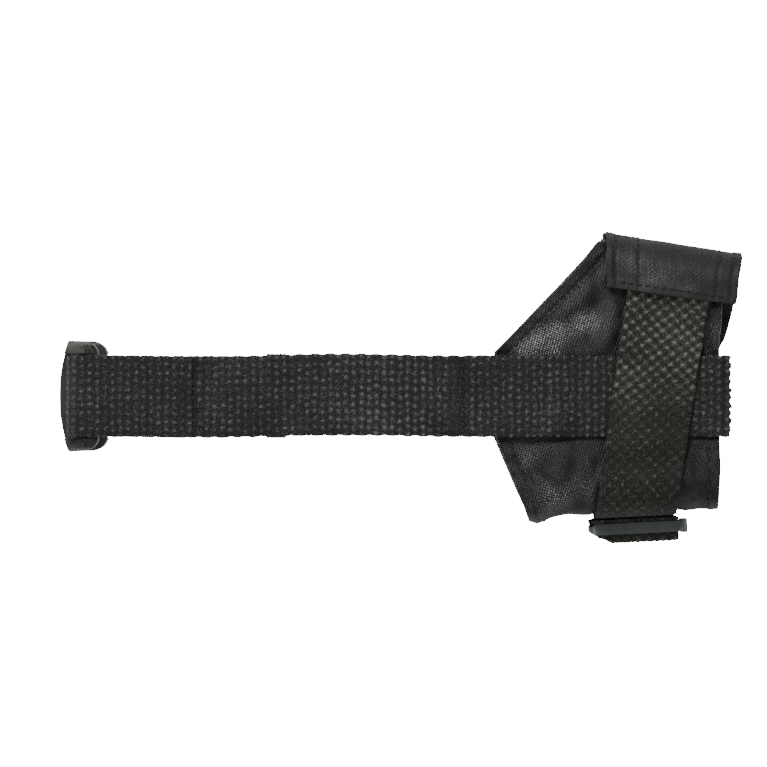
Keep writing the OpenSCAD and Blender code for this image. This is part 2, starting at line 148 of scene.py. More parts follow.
def fold(x, y, a, b, width, height):
    """Soft ridge along the line from a to b."""
    a, b = np.array(a, float), np.array(b, float)
    d = b - a
    length = np.hypot(*d)
    t = ((x - a[0]) * d[0] + (y - a[1]) * d[1]) / length ** 2
    off = ((x - a[0]) * d[1] - (y - a[1]) * d[0]) / length
    off = off + 0.12 * length * (t - 0.5) ** 2
    ends = smooth(-0.25, 0.25, t) * smooth(1.25, 0.75, t)
    return height * ends * np.exp(-((off / width) ** 2))


def add_object(name, data):
    obj = bpy.data.objects.new(name, data)
    bpy.context.scene.collection.objects.link(obj)
    return obj


def make_mesh(name, co, faces, wave=None, sharp=60):
    """Mesh from points in mm, faces as index lists, and the cloth coordinates that the weave uses."""
    mesh = bpy.data.meshes.new(name)
    mesh.from_pydata((np.asarray(co) / 1000).tolist(), [], faces)
    mesh.update()
    bm = bmesh.new()
    bm.from_mesh(mesh)
    if bm.calc_volume(signed=True) < 0:
        bmesh.ops.reverse_faces(bm, faces=bm.faces)
        bm.to_mesh(mesh)
    bm.free()
    if wave is not None:
        layer = mesh.attributes.new("wv", "FLOAT_VECTOR", "POINT")
        layer.data.foreach_set("vector", np.asarray(wave, np.float32).ravel())
    mesh.polygons.foreach_set("use_smooth", np.ones(len(mesh.polygons), bool))
    mesh.set_sharp_from_angle(angle=math.radians(sharp))
    return add_object(name, mesh)


def cloth_solid(name, point, s, a, outer, inner, h, closed=False, edge=0.25, wave=None, sharp=70):
    """Closed solid of cloth. point(s, a, b) is in mm, with b along the normal; outer and inner are the
    two faces' heights, and h the height of the weave from 0 to 1, which colours it."""
    ss, aa = np.meshgrid(s, a, indexing="ij")
    n, m = ss.shape
    full = lambda v: np.broadcast_to(v, ss.shape)
    outer, inner, h = full(outer), full(inner), full(h)
    top, bottom = point(ss, aa, outer), point(ss, aa, inner)
    middle = (outer + inner) / 2
    e = edge(s) if callable(edge) else np.full(n, edge)
    right = point(s, aa[:, -1] + e, middle[:, -1])[:, None, :]
    left = point(s, aa[:, 0] - e, middle[:, 0])[:, None, :]
    ring = np.concatenate([top, right, bottom[:, ::-1], left], axis=1)
    w = 2 * m + 2
    if wave is None:
        wave = np.stack([ss, aa, h], -1)
    else:
        wave = np.stack([full(wave[0]), full(wave[1]), h], -1)
    coords = np.concatenate([wave, wave[:, -1:], wave[:, ::-1], wave[:, :1]], axis=1)
    i = np.arange(n if closed else n - 1)[:, None]
    j = np.arange(w)[None, :]
    i2, j2 = (i + 1) % n, (j + 1) % w
    quads = np.stack([i * w + j, i * w + j2, i2 * w + j2, i2 * w + j], -1).reshape(-1, 4).tolist()
    if not closed:
        for r in (0, n - 1):
            base = r * w
            cap = [[base + k, base + w - 2 - k, base + w - 3 - k, base + k + 1] for k in range(m - 1)]
            cap.append([base + m - 1, base + m + 1, base + m])
            cap.append([base, base + w - 1, base + w - 2])
            quads += cap if r else [c[::-1] for c in cap]
    return make_mesh(name, ring.reshape(-1, 3), quads, coords.reshape(-1, 3), sharp)


# ---- weave of the webbing
def chance(i, j, seed):
    """Pseudo-random number from 0 to 1 for each yarn crossing."""
    v = np.sin(i * 12.9898 + j * 78.233 + seed * 37.719) * 4375.8545
    return v - np.floor(v)


def weave(s, a, pitch_s, pitch_a, kind):
    """Height of the yarns from 0 to 1."""
    wob = 0.16 * ripple(s, a, 5, 9)
    u, v = s / pitch_s + wob * 0.5, a / pitch_a + wob * 0.3
    col = np.floor(u + 0.5)
    if kind == "checker":
        row = np.floor((v + np.mod(col, 2)) / 2 + 0.5)
        h = np.clip(0.5 + 0.5 * np.cos(math.pi * u) * np.cos(math.pi * v), 0, 1)
        return 0.25 * smooth(0, 0.7, h) + h ** 7 * (0.30 + 0.72 * chance(col, row, 3))
    row = np.floor(v + 0.22 * np.mod(col, 2) + 0.5)
    v = v + 0.22 * np.mod(col, 2) + 0.24 * (chance(col, row, 1) - 0.5)
    u = u + 0.16 * (chance(col, row, 2) - 0.5)
    across = np.clip(np.cos(math.pi * (u - col)), 0, 1)
    along = 0.5 + 0.5 * np.cos(2 * math.pi * v)
    yarn = smooth(0, 0.7, across) * smooth(0, 0.6, along)
    peak = across ** 7 * along ** 6 * (0.15 + 0.85 * chance(col, row, 3))
    line = across ** 5 * (0.10 + 0.14 * chance(col, 0 * row, 4))
    return 0.20 * yarn + 1.15 * peak + 0.8 * line


def uneven(s, a, seed):
    """How proud the yarns stand from place to place, about 1."""
    return 1 + 0.28 * ripple(s, a, seed, 3.2) + 0.18 * ripple(s, a, seed + 1, 14)


class Path:
    """Smooth line in the XZ plane, read by arc length."""

    def __init__(self, points, soften=1.0, step=0.25):
        p = np.array(points, float)
        d = np.r_[0, np.cumsum(np.hypot(*np.diff(p, axis=0).T))]
        n = max(8, int(d[-1] / step))
        t = np.linspace(0, d[-1], n)
        q = np.stack([np.interp(t, d, p[:, 0]), np.interp(t, d, p[:, 1])], -1)
        k = max(1, int(soften / step))
        kernel = np.exp(-0.5 * (np.arange(-3 * k, 3 * k + 1) / k) ** 2)
        kernel /= kernel.sum()
        start = q[0] - (q[1] - q[0]) * np.arange(3 * k, 0, -1)[:, None]
        end = q[-1] + (q[-1] - q[-2]) * np.arange(1, 3 * k + 1)[:, None]
        wide = np.concatenate([start, q, end])
        q = np.stack([np.convolve(wide[:, c], kernel, "valid") for c in (0, 1)], -1)
        tangent = np.gradient(q, axis=0)
        tangent /= np.hypot(*tangent.T)[:, None]
        self.s = np.r_[0, np.cumsum(np.hypot(*np.diff(q, axis=0).T))]
        self.q, self.n = q, np.stack([-tangent[:, 1], tangent[:, 0]], -1)
        self.length = self.s[-1]

    def at(self, s, b):
        x, z = np.interp(s, self.s, self.q[:, 0]), np.interp(s, self.s, self.q[:, 1])
        return x + b * np.interp(s, self.s, self.n[:, 0]), z + b * np.interp(s, self.s, self.n[:, 1])


def bend(x, z, r, a0, a1, n=12):
    """Points on an arc about (x, z), from a0 to a1 degrees."""
    t = np.radians(np.linspace(a0, a1, n + 1))
    return [(x + r * np.cos(i), z + r * np.sin(i)) for i in t]


def rounded_ring(hy, hz, r, n=7):
    """Rectangle of half sizes hy and hz with round corners of radius r."""
    y, z = hy - r, hz - r
    out = []
    for cy, cz, a0 in ((y, z, 90), (y, -z, 0), (-y, -z, -90), (-y, z, -180)):
        out += bend(cy, cz, r, a0, a0 - 90, n - 1)
    return out


def across_webbing():
    """Places across the webbing where its faces are modelled."""
    return np.linspace(-HALF + EDGE_IN, HALF - EDGE_IN, 53)


def strap(name, points, seed, soften=1.0, bow=lambda x: 0 * x, painted_light_amount=lambda x: 1 + 0 * x,
          relief=lambda x: 1 + 0 * x):
    """Neck webbing along points in the XZ plane. At x, bow moves it along Y, relief sets how far its yarns
    stand out, and the paleness function scales how pale they are painted, for a painted sheen and a painted
    shadow along the strap."""
    path = Path(points, soften)
    s = np.linspace(0, path.length, int(path.length / (YARN_S / 5)) + 1)
    a = across_webbing()
    ss, aa = np.meshgrid(s, a, indexing="ij")
    h = weave(ss, aa, YARN_S, YARN_A, "rows") * np.clip(uneven(ss, aa, seed), 0.35, 1.3)
    back = weave(ss + 1.2, aa + 1.1, YARN_S, YARN_A, "rows") * np.clip(uneven(ss, aa, seed + 7), 0.35, 1.3)
    selvedge = smooth(HALF - 2.4, HALF - 0.2, np.abs(aa))
    base = 0.44 - 0.14 * selvedge
    lift = 0.30 * (1 - 0.3 * selvedge) * relief(path.at(s, 0)[0])[:, None]

    def point(s, a, b):
        x, z = path.at(s, b)
        y = STRAP_Y + a + bow(x)
        return np.stack([x, y, z], -1)

    side = lambda s: 0.16 + 0.16 * np.cos(math.pi * s / YARN_S) + 0.05 * ripple(s, 0 * s, seed, 2)
    pale = painted_light_amount(path.at(s, 0)[0])[:, None]
    outer, inner = base + lift * h, -(base + lift * back)
    return cloth_solid(name, point, s, a, outer, inner, h * pale, edge=side, sharp=85)


# ---- cross-section of the cup: y of its bridge and chin at x, and stations u from 0 to 8 round it, 0 to 1 on
# the upper flank, 2 to 3 across the bridge, 4 to 5 on the lower flank and 6 to 7 across the chin
def bridge_at(x):
    return BRIDGE_Y + BRIDGE_SLOPE * (x - APEX_X)


def chin_at(x):
    return CHIN_Y + CHIN_SLOPE * (x - HEEL_X)


def section(x, u, off):
    """(y, z) on the cup's outer surface at x and station u, moved out by off."""
    u = np.mod(u, 8)
    k, f = np.floor(u), np.mod(u, 1)
    top, foot = bridge_at(x), chin_at(x)
    rb, rc = R_BRIDGE, R_CHIN

    def arc(y, z, r, degrees):
        t = np.radians(degrees)
        return y + (r + off) * np.cos(t), z + (r + off) * np.sin(t)

    flat = top - rb - foot - rc
    cases = [
        (foot + rc + f * flat, Z_HIGH + off),
        arc(top - rb, Z_HIGH - rb, rb, 90 * (1 - f)),
        (top + off, Z_HIGH - rb - f * (CUP_W - 2 * rb)),
        arc(top - rb, Z_LOW + rb, rb, -90 * f),
        (top - rb - f * flat, Z_LOW - off),
        arc(foot + rc, Z_LOW + rc, rc, -90 - 90 * f),
        (foot - off, Z_LOW + rc + f * (CUP_W - 2 * rc)),
        arc(foot + rc, Z_HIGH - rc, rc, 180 - 90 * f),
    ]
    shape = np.broadcast_shapes(np.shape(x), np.shape(u), np.shape(off))
    pick = [np.broadcast_to(k == i, shape) for i in range(8)]
    y = np.select(pick, [np.broadcast_to(c[0], shape) for c in cases])
    z = np.select(pick, [np.broadcast_to(c[1], shape) for c in cases])
    return y, z


def cup_point(x, u, off):
    """Point on the cup, moved out by off."""
    y, z = section(x, u, off)
    return np.stack([np.broadcast_to(x, y.shape), y, z], -1)


MID_X = (APEX_X + TIP_X) / 2
FLAT = bridge_at(MID_X) - R_BRIDGE - chin_at(MID_X) - R_CHIN
LENGTHS = np.array([
    FLAT, R_BRIDGE * math.pi / 2, CUP_W - 2 * R_BRIDGE, R_BRIDGE * math.pi / 2,
    FLAT, R_CHIN * math.pi / 2, CUP_W - 2 * R_CHIN, R_CHIN * math.pi / 2,
])
AROUND = np.r_[0, np.cumsum(LENGTHS)]


def u_at(s):
    """Station at the length s round the cup."""
    return np.interp(np.mod(s, AROUND[-1]), AROUND, np.arange(9))


def s_at(u):
    """Length round the cup at station u."""
    return np.interp(u, np.arange(9), AROUND)


def share(y):
    """Y as a share of the cup's height, from 0 at the chin to 1 at the bridge."""
    return (y - chin_at(MID_X)) / (bridge_at(MID_X) - chin_at(MID_X))


REAR_SLANT = 0.86
# Edges of the cup, as [share of its height, x]: rear, front, and the front of the upper flank
REAR = np.array([[0, HEEL_X], [share(STRAP_Y - HALF), TIP_X], [share(STRAP_Y + HALF), TIP_X], [1, APEX_X]])
FRONT = np.array([[0, FRONT_X], [0.60, FRONT_X], [0.69, NOSE_X - 3.2], [0.85, NOSE_X - 0.3], [1, NOSE_X]])
FRONT_NEAR = np.array([[0, FRONT_X], [0.70, FRONT_X], [0.86, FRONT_X + 1.0], [1, NOSE_X]])


def near_side(u):
    """1 on the upper flank, 0 on the lower one."""
    _, z = section(MID_X, u, 0)
    return smooth(Z_LOW + 12, Z_HIGH - 12, z)


def cup_span(u):
    """X of the cup's rear and front edge at station u."""
    y, z = section(MID_X, u, 0)
    v = share(y)
    rear = np.interp(v, *REAR.T)
    front = np.interp(v, *FRONT.T)
    front_near = np.interp(v, *FRONT_NEAR.T)
    near = near_side(u)
    wob = 0.35 * ripple3(0 * y, y, z, 21, 16)
    sag = 1.1 * np.sin(math.pi * np.clip((v - REAR[2, 0]) / (1 - REAR[2, 0]), 0, 1))
    return rear + wob * 0.6 + sag, front + (front_near - front) * near + 0.3 * ripple3(0 * y, y, z, 22, 12)


def snout_x(y):
    """X of the middle of the snout strap."""
    return STRAP_MID_X + (y - STRAP_Y) * LEAN


def under_webbing(x, y):
    """1 where webbing lies on the flank."""
    band = smooth(HALF + 1.8, HALF + 0.2, np.abs(y - STRAP_Y)) * smooth(TIP_X - 4, TIP_X, x)
    snout = smooth(HALF + 2.2, HALF + 0.4, np.abs(x - snout_x(y)))
    return np.maximum(band, snout)


# Folds in the cup's cloth: (start, end, width, height)
FOLDS = (
    ((45, -37), (52, -17), 2.6, 1.0), ((52, -38), (62, -24), 2.4, -1.1), ((40, -26), (50, -32), 2.2, -0.9),
    ((56, -19), (61, -34), 2.2, 0.9), ((36, 16), (60, 24), 2.4, -0.9), ((47, 18), (66, 38), 2.8, 0.9),
    ((58, 13), (61, 36), 1.9, -1.0), ((63, 12), (66, 30), 1.7, 0.8), ((90, -18), (92, -36), 2.0, -0.8),
    ((94, 12), (96, 26), 1.8, -0.7),
)


def edge_distance(x, rear, front):
    """Distance from the nearer open edge. The rear edge slants, so it is nearer than x alone tells."""
    return np.minimum((x - rear) * REAR_SLANT, front - x)


def crease(u, x):
    """Folds and puckers of the cup's cloth, in mm outward."""
    y, z = section(x, u, 0)
    near = near_side(u)
    rear, front = cup_span(u)
    d = edge_distance(x, rear, front)
    out = 0.34 * ripple3(x, y, z, 31, 20) + 0.15 * ripple3(x, y, z, 32, 7)
    out = out + sum(fold(x, y, *f) for f in FOLDS) * (0.35 + 0.65 * near)
    out = out + smooth(9, 2, d) * 0.3 * ripple3(x, y, z, 33, 4.6)
    hidden = under_webbing(x, y)
    return np.minimum(out, 0.9) * (1 - hidden) - 0.25 * hidden


def hem(u, x, width=4.4):
    """(flap, dip): 1 on the folded hems along the two open edges, and 1 along their seams."""
    d = edge_distance(x, *cup_span(u))
    return smooth(width + 0.5, width - 0.5, d), np.exp(-(((d - width + 1.2) / 0.5) ** 2))


# ---- materials
def material(name):
    """(material, node tree, Principled shader)"""
    m = bpy.data.materials.new(name)
    m.use_nodes = True
    nt = m.node_tree
    return m, nt, nt.nodes["Principled BSDF"]


class Nodes:
    """Short names for making and joining a material's nodes."""

    def __init__(self, nt):
        self.nt = nt

    def new(self, kind, **props):
        n = self.nt.nodes.new(kind)
        for k, v in props.items():
            setattr(n, k, v)
        return n

    def link(self, a, b):
        self.nt.links.new(a, b)

    def set(self, socket, value):
        if hasattr(value, "is_linked"):
            self.link(value, socket)
        else:
            socket.default_value = value

    def math(self, op, a, b=0.0, clamp=False):
        n = self.new("ShaderNodeMath", operation=op, use_clamp=clamp)
        self.set(n.inputs[0], a)
        self.set(n.inputs[1], b)
        return n.outputs[0]

    def add(self, a, b):
        return self.math("ADD", a, b)

    def sub(self, a, b):
        return self.math("SUBTRACT", a, b)

    def mul(self, a, b):
        return self.math("MULTIPLY", a, b)

    def noise(self, vector, scale, detail=3.0, rough=0.5):
        n = self.new("ShaderNodeTexNoise")
        self.link(vector, n.inputs["Vector"])
        n.inputs["Scale"].default_value = scale
        n.inputs["Detail"].default_value = detail
        n.inputs["Roughness"].default_value = rough
        return n.outputs["Fac"]

    def ramp(self, fac, stops):
        n = self.new("ShaderNodeValToRGB")
        self.link(fac, n.inputs[0])
        el = n.color_ramp.elements
        while len(el) < len(stops):
            el.new(0.5)
        for e, (pos, col) in zip(el, stops):
            e.position = pos
            e.color = (*col, 1) if hasattr(col, "__len__") else (col, col, col, 1)
        return n.outputs[0]

    def mix(self, fac, a, b):
        n = self.new("ShaderNodeMix", data_type="RGBA")
        self.set(n.inputs[0], fac)
        self.set(n.inputs[6], a)
        self.set(n.inputs[7], b)
        return n.outputs[2]

    def cloth(self):
        """(along, across, height) of the cloth coordinates, the first two in mm."""
        at = self.new("ShaderNodeAttribute", attribute_name="wv")
        sep = self.new("ShaderNodeSeparateXYZ")
        self.link(at.outputs["Vector"], sep.inputs[0])
        return sep.outputs[0], sep.outputs[1], sep.outputs[2]

    def combine(self, x, y, z=0.0):
        n = self.new("ShaderNodeCombineXYZ")
        for socket, value in zip(n.inputs, (x, y, z)):
            self.set(socket, value)
        return n.outputs[0]

    def bump(self, height, distance, strength=1.0, normal=None):
        n = self.new("ShaderNodeBump")
        n.inputs["Strength"].default_value = strength
        n.inputs["Distance"].default_value = distance
        self.link(height, n.inputs["Height"])
        if normal is not None:
            self.link(normal, n.inputs["Normal"])
        return n.outputs[0]


def cloth_finish(p, specular):
    p.inputs["Sheen Weight"].default_value = 0.03
    p.inputs["Sheen Roughness"].default_value = 0.4
    p.inputs["Specular IOR Level"].default_value = specular


def webbing_material(name, low, mid, high, gloss, streak=0.6, grain=1.3):
    """Coarse webbing: dark between the yarns and pale on their tops, a painted shade in the hollows and
    painted highlights on the crowns.
    streak and grain are how far fibres and grit break that up."""
    m, nt, p = material(name)
    n = Nodes(nt)
    s, a, h = n.cloth()
    fibre = n.noise(n.combine(n.mul(s, 1.1), n.mul(a, 6.5)), 1.0, 4.0, 0.65)
    patch = n.noise(n.combine(s, a), 0.055, 2.0)
    speck = n.noise(n.combine(s, a), 1.35, 3.0, 0.65)
    grit = n.noise(n.combine(s, a), 2.7, 2.0, 0.6)
    height = n.add(n.mul(h, 0.66), 0.24)
    for noise, amount in ((fibre, streak), (speck, 1.25), (grit, grain), (patch, 0.40)):
        height = n.add(height, n.mul(n.sub(noise, 0.5), amount))
    colour = n.ramp(height, [(0.14, low), (0.44, mid), (0.84, high)])
    n.link(colour, p.inputs["Base Color"])
    n.link(n.ramp(height, [(0.2, 0.75), (0.95, gloss)]), p.inputs["Roughness"])
    n.link(n.bump(n.add(fibre, n.mul(speck, 0.6)), 0.00026, 0.85), p.inputs["Normal"])
    cloth_finish(p, 0.5)
    return m


def nylon_material(name, low, high, pitch, ribs=False, gloss=0.24, shine=0.75):
    """Thin woven nylon: a fine lattice of yarns with painted glints."""
    m, nt, p = material(name)
    n = Nodes(nt)
    s, a, h = n.cloth()
    warp = n.noise(n.combine(s, a), 0.25, 2.0)
    k = 2 * math.pi / pitch
    wob = n.mul(n.sub(warp, 0.5), 2.5)
    if ribs:
        u = n.math("SINE", n.add(n.mul(s, k), wob))
        v = n.math("SINE", n.mul(a, k * 1.3))
        grid = n.add(n.mul(u, 0.10), n.mul(n.mul(u, v), 0.4))
    else:
        d1 = n.add(n.mul(s, k), n.mul(a, k * 0.62))
        d2 = n.sub(n.mul(s, k * 0.45), n.mul(a, k))
        u = n.math("SINE", n.add(d1, wob))
        v = n.math("SINE", n.add(d2, wob))
        grid = n.mul(u, v)
    grid = n.add(n.mul(grid, 0.5), 0.5)
    patch = n.noise(n.combine(s, a), 0.075, 3.0, 0.6)
    fine = n.noise(n.combine(s, a), 1.9, 2.0, 0.7)
    # painted highlights: pale glint spots mixed into the base colour on the lattice, where the gleam
    # attribute marks the lit flank and in random patches
    peak = n.math("POWER", grid, 3.2)
    gleam = n.new("ShaderNodeAttribute", attribute_name="gleam").outputs["Fac"]
    sparse = n.math("ADD", n.ramp(patch, [(0.50, 0.0), (0.72, 0.22)]), gleam, clamp=True)
    glint = n.mul(n.mul(peak, sparse), n.ramp(fine, [(0.44, 0.04), (0.60, 1.0)]))
    tone = n.add(n.mul(grid, 0.5), n.mul(fine, 0.5))
    colour = n.ramp(tone, [(0.25, low), (0.75, high)])
    colour = n.mix(n.mul(glint, shine), colour, (0.85, 0.83, 0.87, 1))
    colour = n.mix(n.mul(h, 0.35), colour, (*(c * 0.6 for c in low), 1))
    n.link(colour, p.inputs["Base Color"])
    rough = n.add(n.mul(patch, 0.6), n.mul(fine, 0.4))
    n.link(n.ramp(rough, [(0.3, gloss + 0.22), (0.75, gloss)]), p.inputs["Roughness"])
    first = n.bump(grid, 0.0002, 0.8)
    n.link(n.bump(fine, 0.00014, 0.6, first), p.inputs["Normal"])
    cloth_finish(p, 0.45)
    return m


def plastic_material(name, dark, light, gloss, edge_light):
    """Moulded plastic: faint mottling, fine grain, and a painted highlight that makes its sharp edges paler.
    """
    m, nt, p = material(name)
    n = Nodes(nt)
    geo = n.new("ShaderNodeTexCoord").outputs["Object"]
    blotch = n.noise(geo, 90.0, 3.0)
    grain = n.noise(geo, 2600.0, 2.0, 0.7)
    point = n.new("ShaderNodeNewGeometry").outputs["Pointiness"]
    # painted highlight: the edge_light colour is mixed in where the edges are sharp, where the lights would
    # catch them
    painted_light = n.ramp(point, [(0.50, 0.0), (0.60, 1.0)])
    base = n.ramp(blotch, [(0.3, dark), (0.75, light)])
    painted_light_amount = n.mul(painted_light, n.add(n.mul(blotch, 0.7), 0.2))
    colour = n.mix(painted_light_amount, base, (*edge_light, 1))
    n.link(colour, p.inputs["Base Color"])
    n.link(n.ramp(grain, [(0.3, gloss - 0.05), (0.7, gloss + 0.09)]), p.inputs["Roughness"])
    n.link(n.bump(grain, 0.00003, 0.5), p.inputs["Normal"])
    p.inputs["Specular IOR Level"].default_value = 0.5
    return m


def thread_material(name, dark, light):
    """Twisted sewing thread."""
    m, nt, p = material(name)
    n = Nodes(nt)
    geo = n.new("ShaderNodeTexCoord").outputs["Object"]
    twist = n.noise(geo, 1900.0, 2.0)
    n.link(n.ramp(twist, [(0.3, dark), (0.75, light)]), p.inputs["Base Color"])
    n.link(n.bump(twist, 0.00005, 0.7), p.inputs["Normal"])
    p.inputs["Roughness"].default_value = 0.5
    p.inputs["Sheen Weight"].default_value = 0.03
    return m


NECK_WEB = webbing_material(
    "neck_webbing_black", (0.0015, 0.0015, 0.0015), (0.0105, 0.0106, 0.0100), (0.125, 0.128, 0.113), 0.38)
SNOUT_WEB = webbing_material(
    "snout_webbing_black", (0.0018, 0.0018, 0.0015), (0.0135, 0.0140, 0.0100), (0.175, 0.180, 0.131), 0.35,
    streak=1.5, grain=0.6)
SHELL = nylon_material(
    "shell_nylon", (0.0018, 0.0016, 0.0021), (0.0112, 0.0101, 0.0125), 1.15, gloss=0.30, shine=1.75)
SLEEVE = nylon_material(
    "sleeve_nylon", (0.0035, 0.0033, 0.0040), (0.0270, 0.0255, 0.0285), 1.3, ribs=True, gloss=0.42, shine=0.9)
LINING = nylon_material(
    "lining_nylon", (0.014, 0.014, 0.015), (0.030, 0.030, 0.031), 0.8, ribs=True, gloss=0.60, shine=0.0)
# the last colour of each plastic is its painted edge highlight
BUCKLE = plastic_material(
    "buckle_acetal", (0.026, 0.027, 0.024), (0.050, 0.052, 0.045), 0.30, (0.15, 0.155, 0.137))
SLIDER = plastic_material(
    "slider_acetal", (0.050, 0.054, 0.053), (0.086, 0.094, 0.093), 0.24, (0.34, 0.38, 0.39))
THREAD = thread_material("black_thread", (0.006, 0.006, 0.0065), (0.024, 0.024, 0.026))
ELASTIC = webbing_material(
    "elastic_black", (0.006, 0.006, 0.006), (0.018, 0.018, 0.018), (0.040, 0.040, 0.040), 0.55)


def add_gleam(obj, streaks):
    """Mark where the upward flank catches the light, for the painted glints: (start, end, width, strength) in
    mm.
    """
    mesh = obj.data
    co = np.empty(len(mesh.vertices) * 3, np.float32)
    mesh.vertices.foreach_get("co", co)
    x, y, z = co.reshape(-1, 3).T.astype(float) * 1000
    total = 0
    for a, b, width, strength in streaks:
        a, b = np.array(a, float), np.array(b, float)
        d = b - a
        t = np.clip(((x - a[0]) * d[0] + (y - a[1]) * d[1]) / d.dot(d), 0, 1)
        off = np.hypot(x - a[0] - t * d[0], y - a[1] - t * d[1])
        total = total + strength * np.exp(-((off / width) ** 2))
    total = total * (z > (Z_HIGH + Z_LOW) / 2) * (1 + 0.5 * ripple(x, y, 37, 9))
    layer = mesh.attributes.new("gleam", "FLOAT", "POINT")
    layer.data.foreach_set("value", np.clip(total, 0, 1).astype(np.float32))


def dress(obj, mat, slot, body, *nodes):
    """Give a piece its material, the body it rides on and the CAD nodes it stands for. slot is not used."""
    obj.data.materials.clear()
    obj.data.materials.append(mat)
    if body:
        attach(obj, body)
    if nodes:
        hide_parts(*nodes)


# ---- cup: shell, lining and sleeve
RING_START = s_at(2.5)  # middle of the bridge, where the sleeve hides the seam of the weave
s_ring = RING_START + np.arange(300) * AROUND[-1] / 300
LINING_IN = 4.3  # how far the lining stops short of the cup's edges


def cup_grid(span, s, samples):
    """Cloth between the edges that span gives: the function that maps (s, share of the width, height) to
    a point, the shares, and a grid of s, share, station and x."""
    def x_at(u, f):
        rear, front = span(u)
        return rear + (front - rear) * f

    def point(s, f, b):
        u = u_at(s)
        return cup_point(x_at(u, f), u, b)

    f = np.linspace(0, 1, samples)
    ss, ff = np.meshgrid(s, f, indexing="ij")
    uu = u_at(ss)
    return point, f, ss, ff, uu, x_at(uu, ff)


point, f, ss, _, uu, xx = cup_grid(cup_span, s_ring, 120)
flap, dip = hem(uu, xx)
yy, _ = section(xx, uu, 0)
free = 1 - under_webbing(xx, yy)
lift = crease(uu, xx)
heel_bulge = 1.6 * np.exp(-(((xx - HEEL_X - 2.5) / 3.2) ** 2)) * smooth(6.2, 7.0, uu) * smooth(8.05, 7.6, uu)
outer = lift - 0.02 + (0.28 * flap - 0.42 * dip) * free + heel_bulge
inner = lift - FABRIC_T - 0.85 * flap + heel_bulge
shell = cloth_solid(
    "cup_shell", point, s_ring, f, outer, inner, np.clip(dip + 0.25 * flap, 0, 1), closed=True, edge=0.004,
    wave=(xx, ss), sharp=80)
add_gleam(shell, [
    ((38, 12), (58, 21.5), 2.8, 1.0), ((37, 9.5), (47, 11), 2.0, 0.6), ((42, 20), (60, 36), 3.6, 0.16),
    ((47, -33), (55, -31), 4.2, 0.38), ((38, -20), (46, -36), 2.6, 0.15),
])
dress(shell, SHELL, "shell_cloth", "muzzle",
      "side_panel_upper", "side_panel_lower", "bridge_panel", "chin_panel")


def lining_span(u):
    rear, front = cup_span(u)
    return rear + LINING_IN, front - LINING_IN


point, f, ss, _, uu, xx = cup_grid(lining_span, s_ring, 70)
lift = crease(uu, xx)
lining = cloth_solid(
    "cup_lining_cloth", point, s_ring, f, lift - 1.0, lift - 1.7, 0.2, closed=True, edge=0.002,
    wave=(xx, ss), sharp=80)
dress(lining, LINING, "lining_cloth", "muzzle", "cup_lining")

# Sleeve: a flap folded over the bridge, open at its lower edges
chin_round = chin_at(APEX_X) + R_CHIN
u_low = (bridge_at(APEX_X) - SLEEVE_DROP - chin_round) / (bridge_at(APEX_X) - R_BRIDGE - chin_round)
s0, s1 = s_at(u_low), s_at(4 + (1 - u_low))
s_sleeve = np.linspace(s0, s1, 150)


def sleeve_span(u):
    """X of the sleeve's rear and front edge at station u."""
    y, _ = section(MID_X, u, 0)
    v = share(y)
    s = s_at(u)
    rear = APEX_X + 1.3 - (1 - v) * 1.5 + 0.3 * ripple(s, 0 * s, 41, 9)
    front = NOSE_X + 0.1 - (1 - v) * 14 + 0.3 * ripple(s, 0 * s, 42, 8)
    return rear, front


point, f, ss, ff, uu, xx = cup_grid(sleeve_span, s_sleeve, 110)
rear, front = sleeve_span(uu)
REAR_ROWS, FRONT_ROWS = (2.6, 9.6), (2.2, 6.6)  # stitching across the sleeve, from each of its ends
edge_s = np.minimum(ss - s0, s1 - ss)
side = np.minimum(xx - rear, front - xx)
low_hem = smooth(3.4, 2.6, edge_s)
end_hem = smooth(2.2, 1.6, side)
rows = (sum(np.exp(-(((xx - rear - k) / 0.55) ** 2)) for k in REAR_ROWS)
        + sum(np.exp(-(((front - xx - k) / 0.55) ** 2)) for k in FRONT_ROWS))
puff = 0.55 * smooth(0, 7, side - 8) * np.exp(-((edge_s / 9) ** 2))
wrinkle = 0.10 * ripple(xx, ss * 1.2, 43, 9) + 0.05 * ripple(xx, ss, 44, 3.5)
open_left = 0.9 * np.exp(-((edge_s / 3.2) ** 2)) * np.exp(-(((xx - rear - 10) / 9) ** 2))
base = GAP + LAYER + 0.05
outer = base + 0.75 + 0.30 * np.maximum(low_hem, end_hem) - 0.22 * np.clip(rows, 0, 1)
outer = outer + wrinkle + puff + open_left
outer = np.where(uu > 3, np.minimum(outer, 2.85), outer)  # the flank underneath rests on the table
inner = np.maximum(base - 0.02, outer - 0.85 - 0.3 * low_hem)
sleeve = cloth_solid(
    "bridge_sleeve_cloth", point, s_sleeve, f, outer, inner, np.clip(rows, 0, 1), edge=0.004,
    wave=(xx, ss), sharp=80)
add_gleam(sleeve, [((71, 36), (87, 31), 2.6, 0.5), ((66, 42), (98, 38), 5.0, 0.12)])
dress(sleeve, SLEEVE, "sleeve_cloth", "muzzle", "bridge_sleeve")
sleeve_shares, sleeve_outer = ff, outer


# ---- webbing on the cup
HALF_X = HALF / math.cos(math.atan(LEAN))


def over_band(y):
    """Height of the snout strap over the cup: up one layer where it crosses the nose band."""
    d = np.abs(y - STRAP_Y) - HALF - 1.2
    return GAP + LAYER * smooth(7.5, 0.0, d)


def snout_point(level):
    """Function that maps (s, across, height) onto a snout strap whose inside is at level(y)."""
    def point(s, a, b):
        u = u_at(s)
        y, z = section(STRAP_MID_X, u, 0)
        wob = 0.35 * ripple3(0 * y, y, z, 51, 40)
        x = snout_x(y) + a * HALF_X / HALF + wob
        return cup_point(x, u, level(y) + WEB_T / 2 + b)
    return point


